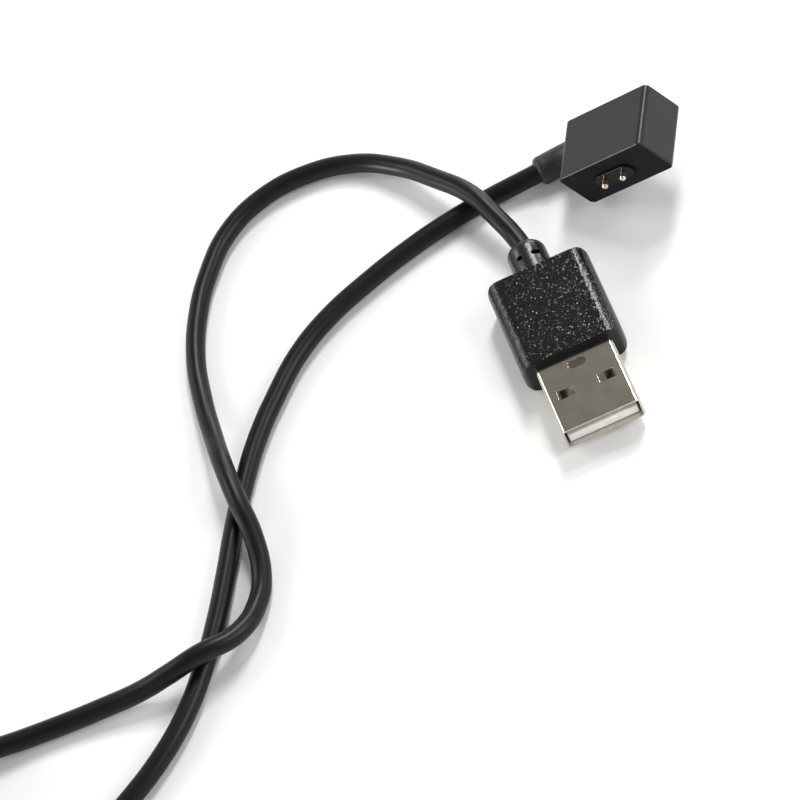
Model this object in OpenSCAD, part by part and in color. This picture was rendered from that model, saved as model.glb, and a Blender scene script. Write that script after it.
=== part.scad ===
// Magnetic charging cable for a fitness tracker: a charging head with two sprung contacts,
// a thin round cord and a USB-A plug. It lies on a table at z = 0, and the spare cord is in a tied coil.
// +X runs level along the head, away from its cord, -Y is the way the contacts face, and +Z is up.

/* [Charging head] */
// Length of the head, from the cord's end to its free end
head_l = 16.7; // [16.2:0.1:18]
// Thickness of the head
head_t = 7.6; // [7.3:0.1:8]
// Depth of the head, from the contact face to the back
head_d = 10.6; // [10.4:0.1:11]
// Radius of the four edges that run from front to back
head_edge_r = 0.9; // [0.7:0.1:1.5]
// Wall thickness of the housing
head_wall = 1.0; // [0.8:0.1:1]
// Thickness of the back cover
cover_t = 1.0; // [0.8:0.1:1]
// Angle that the free end of the head is raised
head_tilt = 31; // [30:0.5:32]

/* [Sprung contacts] */
// Distance between the two contacts
pin_pitch = 3.6; // [3.4:0.1:4]
// Diameter of a plunger's shaft
pin_d = 1.0; // [0.9:0.02:1]
// How far a plunger stands out of the block's nose
pin_reach = 1.3; // [1.2:0.1:1.6]
// Distance of the contacts' middle from the cord's end of the head
pin_x = 8.2; // [7.8:0.1:8.5]
// Length of the block's obround nose
nose_l = 7.0; // [6.4:0.1:7.2]
// Width of the block's nose
nose_w = 2.7; // [2.4:0.1:2.9]
// Gap round the nose in the housing's opening
nose_gap = 0.05; // [0.05:0.05:0.3]

/* [Cord] */
// Diameter of the cord
cord_d = 3.0; // [2.8:0.1:3]
// Diameter of the strain relief at the head
relief_d = 4.5; // [4.2:0.1:4.6]
// Radius that the strain relief bends to, at its middle
relief_bend_r = 8.2; // [7.8:0.1:8.2]
// Length of the strain relief's straight end, after its bend
relief_end_l = 1.4; // [1.2:0.1:1.6]

/* [USB plug] */
// Width of the overmould
grip_w = 15.9; // [15:0.1:16.5]
// Thickness of the overmould
grip_t = 7.0; // [6.8:0.1:7.6]
// Length of the overmould
grip_l = 16.0; // [15.8:0.1:18]
// Radius of the overmould's four upright corners
grip_r = 1.3; // [1:0.1:1.5]
// Radius of the overmould's long edges, which makes its sides round
grip_edge_r = 2.3; // [1.2:0.1:2.4]
// How far the steel shell stands out of the overmould
shell_reach = 12.0; // [11.8:0.05:12.2]
// Diameter of the domed collar
collar_d = 6.0; // [5.6:0.1:6.4]
// Length of the domed collar
collar_l = 6.0; // [5.5:0.1:6.5]

/* [Hidden] */
$fn = 48;

// Where the cord's axis leaves the head's end face, and how far that axis lies behind the contact face
exit_at = [-3.98, 3.15, 3.97];
exit_depth = 7.55;
// Way that the cord lies once it is level, as an angle from +X
cord_bearing = 212.8;

// Where the middle of the overmould's front edge stands on the table, and the plug's way from +X
plug_at = [-0.8, -33.2, 0];
plug_bearing = -63.5;
// How far the collar and the cord lie from the plug's middle line
collar_y = -0.25;

// USB-A shell: outer size, wall and corner, and how far it runs back inside the overmould
shell_w = 12.0;
shell_t = 4.5;
shell_wall = 0.3;
shell_r = 0.6;
shell_tail = 5;
plug_z = grip_t / 2;
tongue_t = 1.84;
contact_w = 1.0;
contact_t = 0.2;
CONTACT_Y = [-3.5, -1, 1, 3.5];

// Pressed fits of the sprung contacts: barrel, its bore and lip, and the plunger's flange
barrel_d = 1.5;
barrel_bore = 1.3;
lip_bore = pin_d + 0.06;
flange_d = 1.24;
nose_out = 0.45;
barrel_front = 0.3;
barrel_back = 5.0;
lip_t = 0.25;
flange_y = barrel_front + lip_t + 0.03;
flange_l = 0.92;
block_back = 4.6;
board_y = 5.2;
board_t = 0.8;
tail_d = 0.6;

// Core wires
wire_d = 0.9;

// Coil of the spare cord, 2.5 turns, and the tie under it
coil_at = [-92.6, -118, 0];
coil_in_r = 14;
coil_out_r = 17;
tie_t = 0.6;

// Route of the cord from inside the strain relief at the head to the coil
HEAD_ROUTE = [
    [-9.6, 1.35, 2.25], [-10.8, 0.6, 2.25], [-12.8, -0.4, 2.05], [-14.9, -1.4, 1.8], [-17.7, -2.8, 1.5],
    [-24, -7.1, 1.5], [-29.5, -11.6, 1.5], [-35.1, -17, 1.5], [-40.3, -22.9, 1.5], [-44.1, -29.2, 1.5],
    [-46.6, -36.5, 1.5], [-48.4, -44.1, 1.5], [-49.2, -51.6, 1.5], [-49.5, -59, 1.5], [-49.5, -66.6, 1.5],
    [-49.7, -74, 1.5], [-50.4, -81.4, 1.5], [-51.9, -88.8, 1.5], [-54.6, -95.8, 1.5], [-58.6, -102.7, 1.5],
    [-63.6, -110, 1.5], [-69.4, -117.5, 1.6], [-75.6, -125, 1.8], [-82.4, -131.6, 2.1]
];

// Route of the cord from inside the plug's collar to the coil, with a hump where it crosses the other stretch
PLUG_ROUTE = [
    [-10.45, -14.5, 3.5], [-12, -12.1, 3.6], [-15.5, -8.4, 4.3], [-19.8, -4.4, 4.75], [-26.25, -0.5, 3.85],
    [-32.95, 2.95, 2.4], [-40.5, 4.5, 1.65], [-48.1, 3, 1.5], [-54.6, -1, 1.5], [-59.1, -7, 1.5],
    [-61.1, -14.5, 1.5], [-61.5, -22, 1.5], [-60.5, -29.7, 1.5], [-58.1, -37, 1.6], [-54.9, -44, 2.5],
    [-51.9, -49.6, 4.5], [-48.6, -55.6, 4.8], [-45.7, -60.9, 3.2], [-43.95, -66.5, 1.7], [-43.8, -71, 1.7],
    [-45.4, -76.65, 3.3], [-50.3, -80.9, 4.8], [-54.5, -83.5, 4], [-58.7, -85.5, 2.8], [-64.45, -87.75, 1.9],
    [-71.6, -90.7, 1.5], [-78.6, -93.8, 2], [-85.1, -96.7, 3.3], [-91.6, -99.5, 4.6], [-98.4, -102, 5.1]
];

function unit(v) = v / norm(v);

// Ring of points round p, square to dir
function ring(p, dir, r, sides, ref) =
    let (side = unit(cross(dir, ref)), up = cross(side, dir))
    [for (i = [0 : sides - 1]) p + r * (cos(360 * i / sides) * up + sin(360 * i / sides) * side)];

// Way that a route runs at point i
function way(route, i) = unit(route[min(i + 1, len(route) - 1)] - route[max(i - 1, 0)]);

// Round tube along a route, with a ring at each of its points
module tube(route, d, sides = 8, ref = [0, 0, 1]) {
    last = len(route) - 1;
    polyhedron(
        points = [for (i = [0 : last]) each ring(route[i], way(route, i), d / 2, sides, ref)],
        faces = concat(
            [[for (j = [0 : sides - 1]) j]],
            [for (i = [0 : last - 1], j = [0 : sides - 1])
                [i * sides + j, (i + 1) * sides + j, (i + 1) * sides + (j + 1) % sides]],
            [for (i = [0 : last - 1], j = [0 : sides - 1])
                [i * sides + j, (i + 1) * sides + (j + 1) % sides, i * sides + (j + 1) % sides]],
            [[for (j = [sides - 1 : -1 : 0]) last * sides + j]]
        )
    );
}

// Rectangle with round corners, from its lower left corner
module rounded_rect(w, h, r) {
    translate([r, 0]) square([w - 2 * r, h]);
    translate([0, r]) square([w, h - 2 * r]);
    for (x = [r, w - r], y = [r, h - r]) translate([x, y]) circle(r);
}

// Slot with round ends, centred
module obround(l, w) {
    square([l - w, w], center = true);
    for (side = [-1, 1]) translate([side * (l - w) / 2, 0]) circle(d = w);
}

// Head's own frame: x from the cord's end, y from the contact face to the back, z across its thickness
module in_head() translate(exit_at) rotate([0, -head_tilt, 0]) translate([0, -exit_depth, 0]) children();

// Extrudes an x-z outline of the head from depth y0 to y1
module deep(y0, y1) translate([0, y1, 0]) rotate([90, 0, 0]) linear_extrude(y1 - y0) children();

// Slab with the head's outline, drawn in by inset
module head_slab(y0, y1, inset = 0)
    deep(y0, y1) translate([inset, inset - head_t / 2])
        rounded_rect(head_l - 2 * inset, head_t - 2 * inset, max(head_edge_r - inset, 0.3));

// Places its children on the axis of one sprung contact
module at_pin(side) translate([pin_x + side * pin_pitch / 2, 0, 0]) children();

// Rod along the head's depth
module depth_rod(y0, y1, d) translate([0, y0, 0]) rotate([-90, 0, 0]) cylinder(h = y1 - y0, d = d);

module head_housing() color("#3a3b3f") in_head() difference() {
    head_slab(0, head_d - cover_t);
    head_slab(head_wall, head_d, head_wall);
    deep(-1, head_wall + 1) translate([pin_x, 0]) obround(nose_l + 2 * nose_gap, nose_w + 2 * nose_gap);
    translate([-1, exit_depth, 0]) rotate([0, 90, 0]) cylinder(h = head_wall + 2, d = cord_d);
}

module head_back_cover() color("#333438") in_head() {
    head_slab(head_d - cover_t, head_d);
    // two locating ribs inside the long walls
    for (side = [-1, 1]) translate([3, head_d - cover_t - 0.6, side * (head_t / 2 - head_wall - 0.4) - 0.3])
        cube([head_l - 6, 0.6, 0.6]);
}

module pogo_block() color("#202124") in_head() difference() {
    union() {
        translate([pin_x - 4.2, head_wall, -2.3]) cube([8.4, block_back - head_wall, 4.6]);
        deep(-nose_out, head_wall) translate([pin_x, 0]) obround(nose_l, nose_w);
    }
    for (side = [-1, 1]) at_pin(side) {
        depth_rod(-1, 1, pin_d + 0.1);
        depth_rod(barrel_front, block_back + 1, barrel_d);
    }
}

module barrel(side) color("#b8a060") in_head() at_pin(side) difference() {
    union() {
        depth_rod(barrel_front, barrel_back, barrel_d);
        depth_rod(barrel_back, board_y + board_t + 0.3, tail_d);
    }
    depth_rod(barrel_front - 1, barrel_front + lip_t + 0.1, lip_bore);
    depth_rod(barrel_front + lip_t, barrel_back - 0.3, barrel_bore);
}

module plunger(side) color("#d9c596") in_head() at_pin(side) {
    tip_y = -nose_out - pin_reach + pin_d / 2;
    translate([0, tip_y, 0]) rotate([90, 0, 0]) sphere(d = pin_d);
    depth_rod(tip_y, flange_y + 0.1, pin_d);
    depth_rod(flange_y, flange_y + flange_l, flange_d);
}

module spring(side) color("#b9bcc0") in_head() at_pin(side) {
    spring_y0 = flange_y + flange_l + 0.12;
    spring_y1 = barrel_back - 0.42;
    turns = 7;
    steps = 10;
    tube([for (i = [0 : turns * steps])
            [0.46 * cos(360 * i / steps), spring_y0 + (spring_y1 - spring_y0) * i / (turns * steps),
             0.46 * sin(360 * i / steps)]], 0.18, 6, [0, 1, 0]);
}

module magnet(side) color("#c9ccd0") in_head()
    translate([side < 0 ? head_wall + 0.1 : head_l - head_wall - 2.3, head_wall + 0.1, -2.4])
        cube([2.2, 4, 4.8]);

module head_circuit_board() color("#1f6b45") in_head() difference() {
    translate([2.3, board_y, -2.5]) cube([head_l - head_wall - 2.6, board_t, 5]);
    for (side = [-1, 1]) at_pin(side) depth_rod(board_y - 1, board_y + board_t + 1, tail_d + 0.1);
}

// Core wire from the strain relief to its pad on the back of the board
module head_wire(side, colour) color(colour) in_head() {
    pad_y = board_y + board_t + wire_d / 2 + 0.02;
    tube([[2, exit_depth, side * 0.6], [2.8, exit_depth, side * 0.6], [4, 7.5, side * 0.9],
          [5.5, 7.2, side * 1.2], [7, 6.7, side * 1.4], [8.3, pad_y, side * 1.4],
          [11, pad_y, side * 1.4]], wire_d);
}

// Strain relief: an arc that turns from the head's way to the cord's level way, a short straight end
// with a bevelled edge, and a neck and a flange inside the head
module head_strain_relief() color("#2b2c2f") {
    out = [-cos(head_tilt), 0, -sin(head_tilt)];
    level = [cos(cord_bearing), sin(cord_bearing), 0];
    inward = unit(level - (level * out) * out);
    axis = cross(out, inward);
    bend = acos(out * level);
    end_r = 0.8;
    straight_r = relief_d / 2 - 0.03;
    centre = exit_at + relief_bend_r * inward;
    multmatrix([[-inward.x, out.x, axis.x, centre.x], [-inward.y, out.y, axis.y, centre.y],
                [-inward.z, out.z, axis.z, centre.z], [0, 0, 0, 1]]) {
        rotate_extrude(angle = bend) translate([relief_bend_r, 0]) circle(d = relief_d);
        rotate([0, 0, bend]) translate([relief_bend_r, 0, 0]) rotate([-90, 0, 0]) {
            translate([0, 0, -0.3]) cylinder(h = relief_end_l - end_r + 0.3, r = straight_r);
            translate([0, 0, relief_end_l - end_r])
                cylinder(h = end_r, r1 = straight_r, r2 = straight_r - end_r);
        }
    }
    in_head() translate([0, exit_depth, 0]) rotate([0, 90, 0]) {
        translate([0, 0, -0.5]) cylinder(h = head_wall + 0.6, d = cord_d);
        translate([0, 0, head_wall]) cylinder(h = 1, d = 3.8);
    }
}

module cord_head_side() color("#26272a") tube(HEAD_ROUTE, cord_d);

module cord_plug_side() color("#26272a") tube(PLUG_ROUTE, cord_d);

// Outline of the coil's bundle, or of a band round it, as seen along the cord
module bundle(grow = 0) {
    bundle_w = coil_out_r - coil_in_r + cord_d + 2 * grow;
    bundle_h = 2 * cord_d + 2 * grow;
    translate([coil_in_r - cord_d / 2 - grow, tie_t - grow]) rounded_rect(bundle_w, bundle_h, cord_d / 2);
}

module cord_coil() color("#26272a") translate(coil_at) rotate_extrude() bundle();

module coil_tie() color("#1c1c1e") translate(coil_at) rotate([0, 0, 190])
    rotate_extrude(angle = 24) difference() {
        bundle(tie_t);
        bundle(0.02);
    }

// Plug's own frame: x from the overmould's front to the tip, y across, z up from the table
module in_plug() translate(plug_at) rotate([0, 0, plug_bearing]) children();

// Extrudes a y-z outline, drawn about the plug's middle height, from x0 to x1
module along_plug(x0, x1) translate([x0, 0, plug_z]) rotate([90, 0, 90]) linear_extrude(x1 - x0) children();

// Centred round-cornered section
module section(w, h, r) translate([-w / 2, -h / 2]) rounded_rect(w, h, r);

module plug_overmould() color("#28282a") in_plug() difference() {
    intersection() {
        along_plug(-grip_l, 0) section(grip_w, grip_t, grip_edge_r);
        linear_extrude(grip_t) translate([-grip_l, -grip_w / 2]) rounded_rect(grip_l, grip_w, grip_r);
    }
    along_plug(-grip_l + 2, -1) section(shell_w + 1.4, shell_t + 0.7, 0.5);
    along_plug(-2, 1) section(shell_w, shell_t, shell_r);
    along_plug(-grip_l - 1, -grip_l + 3) translate([collar_y, 0]) circle(d = 4.4);
}

module plug_strain_relief() color("#2b2b2d") in_plug() difference() {
    union() {
        translate([-grip_l - collar_l, collar_y, plug_z]) rotate([0, 90, 0]) {
            translate([0, 0, 2]) cylinder(h = collar_l - 2, d = collar_d);
            cylinder(h = 2, d = collar_d - 2.4);
            translate([0, 0, 0.8]) cylinder(h = 1.2, r1 = collar_d / 2 - 1.2, r2 = collar_d / 2);
        }
        along_plug(-grip_l, -grip_l + 2) translate([collar_y, 0]) circle(d = 4.4);
    }
    // small windows over the cord
    for (side = [-1, 1], z = [plug_z - 3.5, plug_z + 1.6])
        translate([-18.6, collar_y + side * 1.2, z]) cylinder(h = 1.9, d = 1);
}

module plug_inner_mould() color("#e6e3da") in_plug() difference() {
    along_plug(-grip_l + 2, -1) section(shell_w + 1.4, shell_t + 0.7, 0.5);
    along_plug(-shell_tail, 0) section(shell_w, shell_t, shell_r);
    along_plug(-grip_l + 1, 0) section(9.4, 2.6, 0.4);
}

module usb_shell() color("#a9a59d") in_plug() difference() {
    along_plug(-shell_tail, shell_reach) section(shell_w, shell_t, shell_r);
    along_plug(-shell_tail - 1, shell_reach + 1)
        section(shell_w - 2 * shell_wall, shell_t - 2 * shell_wall, shell_r - shell_wall);
    // latch windows in both wide faces
    for (side = [-1, 1])
        translate([shell_reach - 6.8, side * 3.15 - 1.25, plug_z - shell_t]) cube([1.6, 2.5, 2 * shell_t]);
    // oval hole in the top face
    translate([1.95, 0, plug_z]) linear_extrude(shell_t) rotate(90) obround(2.7, 1.4);
}

module usb_tongue() color("#f1f0ec") in_plug() {
    tongue_w = shell_w - 2 * shell_wall - 0.04;
    floor_z = plug_z - shell_t / 2 + shell_wall + 0.01;
    difference() {
        union() {
            translate([-shell_tail, -tongue_w / 2 + 0.3, floor_z])
                cube([shell_tail + shell_reach - 0.7, tongue_w - 0.6, tongue_t]);
            translate([-shell_tail, -tongue_w / 2 + 0.3, floor_z])
                cube([shell_tail, tongue_w - 0.6, shell_t - 2 * shell_wall - 0.02]);
        }
        for (y = CONTACT_Y) translate([-shell_tail - 1, y - contact_w / 2 - 0.02, floor_z + tongue_t])
            cube([shell_tail + 2, contact_w + 0.04, contact_t + 0.04]);
    }
}

module usb_contact(i) color("#d2b36a") in_plug() {
    outer = i == 0 || i == 3;
    translate([-shell_tail - 2.5, CONTACT_Y[i] - contact_w / 2,
               plug_z - shell_t / 2 + shell_wall + 0.02 + tongue_t])
        cube([shell_tail + 2.5 + shell_reach - (outer ? 2.2 : 3.2), contact_w, contact_t]);
}

// Core wire from the collar's root to the tail of an outer contact
module plug_wire(side, colour) color(colour) in_plug() {
    pad_z = plug_z + 0.57;
    tube([[-grip_l + 2, side * 0.6, plug_z], [-13.3, side * 0.6, plug_z], [-12.2, side * 1, plug_z + 0.1],
          [-11, side * 2.2, plug_z + 0.35], [-9.6, side * 3.2, pad_z], [-8.4, side * 3.5, pad_z],
          [-shell_tail - 0.3, side * 3.5, pad_z]], wire_d);
}

head_housing();
head_back_cover();
pogo_block();
barrel(-1);  // barrel_left
barrel(1);  // barrel_right
plunger(-1);  // plunger_left
plunger(1);  // plunger_right
spring(-1);  // spring_left
spring(1);  // spring_right
magnet(-1);  // magnet_left
magnet(1);  // magnet_right
head_circuit_board();
head_wire(1, "#b3261e");  // head_wire_red
head_wire(-1, "#1a1a1a");  // head_wire_black
head_strain_relief();
cord_head_side();
cord_plug_side();
cord_coil();
coil_tie();
plug_overmould();
plug_strain_relief();
plug_inner_mould();
usb_shell();
usb_tongue();
usb_contact(0);  // usb_contact_1
usb_contact(1);  // usb_contact_2
usb_contact(2);  // usb_contact_3
usb_contact(3);  // usb_contact_4
plug_wire(1, "#b3261e");  // plug_wire_red
plug_wire(-1, "#1a1a1a");  // plug_wire_black
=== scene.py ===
import math

import bmesh
import bpy
from mathutils import Matrix, Vector


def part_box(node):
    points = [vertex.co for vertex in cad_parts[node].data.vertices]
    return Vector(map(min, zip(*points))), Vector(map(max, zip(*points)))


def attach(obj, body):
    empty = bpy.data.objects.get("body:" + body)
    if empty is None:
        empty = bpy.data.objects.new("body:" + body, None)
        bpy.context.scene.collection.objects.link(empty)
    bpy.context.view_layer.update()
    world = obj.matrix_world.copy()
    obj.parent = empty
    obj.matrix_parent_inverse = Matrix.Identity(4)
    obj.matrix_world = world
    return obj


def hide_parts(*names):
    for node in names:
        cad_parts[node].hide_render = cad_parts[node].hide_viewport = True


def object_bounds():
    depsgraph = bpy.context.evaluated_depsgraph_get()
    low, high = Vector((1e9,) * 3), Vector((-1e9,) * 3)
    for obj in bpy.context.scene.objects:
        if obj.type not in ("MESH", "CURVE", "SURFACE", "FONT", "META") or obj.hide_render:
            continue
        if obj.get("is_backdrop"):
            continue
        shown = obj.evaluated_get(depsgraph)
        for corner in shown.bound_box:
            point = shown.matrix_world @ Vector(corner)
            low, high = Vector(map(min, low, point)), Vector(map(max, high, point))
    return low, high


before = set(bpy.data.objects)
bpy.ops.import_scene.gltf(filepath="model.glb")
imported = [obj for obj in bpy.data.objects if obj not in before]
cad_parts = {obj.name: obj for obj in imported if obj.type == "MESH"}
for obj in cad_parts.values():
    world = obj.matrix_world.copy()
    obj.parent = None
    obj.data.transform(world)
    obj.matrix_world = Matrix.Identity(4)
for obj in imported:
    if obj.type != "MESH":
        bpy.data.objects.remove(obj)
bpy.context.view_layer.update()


# ---- Studio ----
# A large pale table top in a pale room. The ceiling is dimmer than the upper walls, so level
# polished faces look grey, and their rounded edges catch the walls and the soft boxes.

mm = 0.001
scene = bpy.context.scene
scene.view_settings.view_transform = "Standard"


def linear(hex_colour):
    """Turns an sRGB hex colour into the linear values that shaders use."""
    parts = [int(hex_colour[i : i + 2], 16) / 255 for i in (1, 3, 5)]
    return [c / 12.92 if c <= 0.04045 else ((c + 0.055) / 1.055) ** 2.4 for c in parts] + [1.0]


def add_node(tree, kind, values=(), links=(), stops=(), **settings):
    """Adds a shader node with its settings, socket values, links from other nodes and ramp stops."""
    node = tree.nodes.new("ShaderNode" + kind)
    for name, value in settings.items():
        setattr(node, name, value)
    for socket, value in dict(values).items():
        node.inputs[socket].default_value = value
    for socket, source in dict(links).items():
        tree.links.new(source, node.inputs[socket])
    for _ in stops[2:]:
        node.color_ramp.elements.new(0.5)
    for i, (place, colour) in enumerate(stops):
        node.color_ramp.elements[i].position = place
        node.color_ramp.elements[i].color = linear(colour)
    return node


def new_material(name, **shader):
    """Makes a material with a Principled shader, and returns it with its tree and that shader."""
    material = bpy.data.materials.new(name)
    material.use_nodes = True
    principled = material.node_tree.nodes["Principled BSDF"]
    for socket, value in shader.items():
        principled.inputs[socket.replace("_", " ")].default_value = value
    return material, material.node_tree, principled


# The camera stands where the whole head, the plug and the cord's near bends fill the view
camera_data = bpy.data.cameras.new("camera")
camera = bpy.data.objects.new("camera", camera_data)
scene.collection.objects.link(camera)
scene.camera = camera
camera_right = Vector((0.9523, 0.1329, -0.2745)).normalized()
camera_back = Vector((0.3039, -0.4905, 0.8167)).normalized()
camera_up = camera_back.cross(camera_right).normalized()
camera_right = camera_up.cross(camera_back)
turn = Matrix((camera_right, camera_up, camera_back)).transposed().to_4x4()
camera.matrix_world = Matrix.Translation(Vector((121.33, -277.62, 400.69)) * mm) @ turn
camera_data.sensor_width = 36
camera_data.lens = 150.83
camera_data.clip_start = 0.02
camera_data.clip_end = 20

world = bpy.data.worlds.new("white room")
scene.world = world
world.use_nodes = True
room = world.node_tree
room_coords = add_node(room, "TexCoord")
room_height = add_node(room, "SeparateXYZ", links={"Vector": room_coords.outputs["Generated"]})
room_shade = add_node(
    room, "ValToRGB", links={"Fac": room_height.outputs["Z"]},
    stops=[(0.0, "#c4c4c6"), (0.22, "#ffffff"), (0.42, "#e8e8e8"), (0.6, "#8d8b88"), (1.0, "#8d8b88")],
)
room.links.new(room_shade.outputs["Color"], room.nodes["Background"].inputs["Color"])
room.nodes["Background"].inputs["Strength"].default_value = 0.9

bpy.ops.mesh.primitive_plane_add(size=6, location=(0, 0, -0.00002))
table = bpy.context.object
table.name = "table_top"
table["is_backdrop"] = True
table_paint, tree, principled = new_material("matt white laminate", Roughness=0.7)
principled.inputs["Base Color"].default_value = linear("#f7f7f6")
table.data.materials.append(table_paint)


def soft_light(name, direction, distance, width, height, watts):
    """Adds a soft box that faces the middle of the cable from the direction given."""
    data = bpy.data.lights.new(name, "AREA")
    data.shape = "RECTANGLE"
    data.size, data.size_y, data.energy = width, height, watts
    light = bpy.data.objects.new(name, data)
    scene.collection.objects.link(light)
    aim = Vector(direction).normalized()
    middle = Vector((-0.015, -0.02, 0))
    facing = aim.to_track_quat("Z", "Y").to_matrix().to_4x4()
    light.matrix_world = Matrix.Translation(middle + aim * distance) @ facing


soft_light("back box", (0.10, 0.67, 0.735), 1.2, 0.24, 0.24, 6)
soft_light("high back box", (0.13, 0.49, 0.862), 1.2, 0.14, 0.14, 2.5)
soft_light("low back strip", (0.14, 0.95, 0.27), 1.3, 0.5, 0.14, 4)
soft_light("right box", (0.80, 0.12, 0.60), 1.3, 0.6, 0.6, 6.5)
soft_light("left box", (-0.80, 0.10, 0.58), 1.3, 0.5, 0.5, 4)
soft_light("low front box", (-0.82, -0.55, 0.17), 1.3, 0.3, 0.3, 11)


# ---- Head housing ----
# The charging head's front: a moulded ABS shell, open at its back, with rounded long edges and
# an obround opening in the contact face. It rises at an angle, standing on its strain relief.


def middle_of(node):
    """Middle of a CAD node's box."""
    low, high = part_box(node)
    return (Vector(low) + Vector(high)) / 2


def choose(piece=None):
    """Leaves edit mode and selects only the piece given, or nothing."""
    if bpy.context.object and bpy.context.object.mode == "EDIT":
        bpy.ops.object.mode_set(mode="OBJECT")
    bpy.ops.object.select_all(action="DESELECT")
    if piece:
        bpy.context.view_layer.objects.active = piece
        piece.select_set(True)


def start_block(name, low, high):
    """Starts a piece as a block between two corners, in edit mode with nothing else selected."""
    choose()
    low, high = Vector(low) * mm, Vector(high) * mm
    bpy.ops.mesh.primitive_cube_add(size=1, location=(low + high) / 2, scale=high - low)
    piece = bpy.context.object
    piece.name = name
    bpy.ops.object.transform_apply(location=True, rotation=False, scale=True)
    bpy.ops.object.mode_set(mode="EDIT")
    return piece


def pick_faces(test):
    """Selects the faces whose middle in mm and normal pass the test."""
    bpy.ops.mesh.select_mode(type="FACE")
    bpy.ops.mesh.select_all(action="DESELECT")
    mesh = bmesh.from_edit_mesh(bpy.context.object.data)
    mesh.normal_update()
    for face in mesh.faces:
        face.select_set(test(face.calc_center_median() / mm, face.normal))
    bmesh.update_edit_mesh(bpy.context.object.data)


def pick_edges(test):
    """Selects the edges whose middle in mm and direction pass the test."""
    bpy.ops.mesh.select_mode(type="EDGE")
    bpy.ops.mesh.select_all(action="DESELECT")
    mesh = bmesh.from_edit_mesh(bpy.context.object.data)
    for edge in mesh.edges:
        a, b = (v.co / mm for v in edge.verts)
        edge.select_set(test((a + b) / 2, (b - a).normalized()))
    bmesh.update_edit_mesh(bpy.context.object.data)


def round_off(radius, segments):
    """Rounds the selected edges."""
    bpy.ops.mesh.bevel(offset=radius * mm, segments=segments, affect="EDGES", clamp_overlap=True)


def push(x=0, y=0, z=0):
    """Extrudes the selected faces by a step in mm."""
    step = (x * mm, y * mm, z * mm)
    bpy.ops.mesh.extrude_region_move(TRANSFORM_OT_translate={"value": step})


def widen(factor, middle):
    """Scales the selected faces across the y axis about a point in mm."""
    bpy.ops.transform.resize(value=(factor, 1, factor), center_override=Vector(middle) * mm)


def turn_outwards():
    """Turns all normals of the piece being edited outwards."""
    bpy.ops.mesh.select_all(action="SELECT")
    bpy.ops.mesh.normals_make_consistent(inside=False)


def cut(piece, tool, how="DIFFERENCE"):
    """Cuts a tool out of a piece, or joins it on, and removes the tool."""
    choose(piece)
    modifier = piece.modifiers.new("cut", "BOOLEAN")
    modifier.operation, modifier.object, modifier.solver = how, tool, "EXACT"
    bpy.ops.object.modifier_apply(modifier=modifier.name)
    bpy.data.objects.remove(tool)


def soften(piece, width, segments=2, angle=40):
    """Gives every sharp edge of a piece a small moulded or pressed radius."""
    choose(piece)
    modifier = piece.modifiers.new("edges", "BEVEL")
    modifier.width, modifier.segments = width * mm, segments
    modifier.limit_method, modifier.angle_limit = "ANGLE", math.radians(angle)
    bpy.ops.object.modifier_apply(modifier=modifier.name)


def settle(piece, place, material, body, *nodes, slot):
    """Turns a finished piece into its place, smooths it, gives it its material if it has none, hangs it on
    its body and hides the CAD nodes that it stands for.
    """
    choose(piece)
    piece.data.transform(place)
    bpy.ops.object.shade_smooth_by_angle(angle=math.radians(32))
    flat = piece.modifiers.new("flat faces stay flat", "WEIGHTED_NORMAL")
    flat.keep_sharp = True
    bpy.ops.object.modifier_apply(modifier=flat.name)
    if not piece.data.materials:
        piece.data.materials.append(material)
    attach(piece, body)
    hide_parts(*nodes)


def obround_block(name, low, high, along):
    """Starts a block whose ends are fully round, as seen along the axis given."""
    piece = start_block(name, low, high)
    size = Vector(high) - Vector(low)
    width = min(size[i] for i in range(3) if i != along)
    pick_edges(lambda middle, way: abs(way[along]) > 0.9)
    round_off(width / 2 * 0.995, 12)
    return piece


def rod(name, start, end, radius, sides=40):
    """Starts a round rod between two points that lie along one axis."""
    choose()
    start, end = Vector(start) * mm, Vector(end) * mm
    aim = (end - start).to_track_quat("Z", "Y").to_euler()
    bpy.ops.mesh.primitive_cylinder_add(
        vertices=sides, radius=radius * mm, depth=(end - start).length,
        location=(start + end) / 2, rotation=aim,
    )
    piece = bpy.context.object
    piece.name = name
    bpy.ops.object.transform_apply(location=True, rotation=True, scale=True)
    bpy.ops.object.mode_set(mode="EDIT")
    return piece


HEAD_L, HEAD_T, HEAD_D = 16.7, 7.6, 10.6
HEAD_EDGE_R, FACE_EDGE_R, CAVITY_R = 0.9, 0.3, 0.3
HEAD_WALL = 1.0
COVER_T = 1.0
HEAD_TILT = math.radians(31)
EXIT_DEPTH = 7.55
NECK_R = 1.5
PIN_X = 8.2
NOSE_L, NOSE_T = 7.0, 2.7
FIT_GAP = 0.05

# The housing's box is centred on its slab, so the head's own frame hangs from it
head_turn = Matrix.Rotation(-HEAD_TILT, 4, "Y")
slab_middle = Vector((HEAD_L / 2, (HEAD_D - COVER_T) / 2, 0)) * mm
in_head = Matrix.Translation(middle_of("head_housing")) @ head_turn @ Matrix.Translation(-slab_middle)

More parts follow.
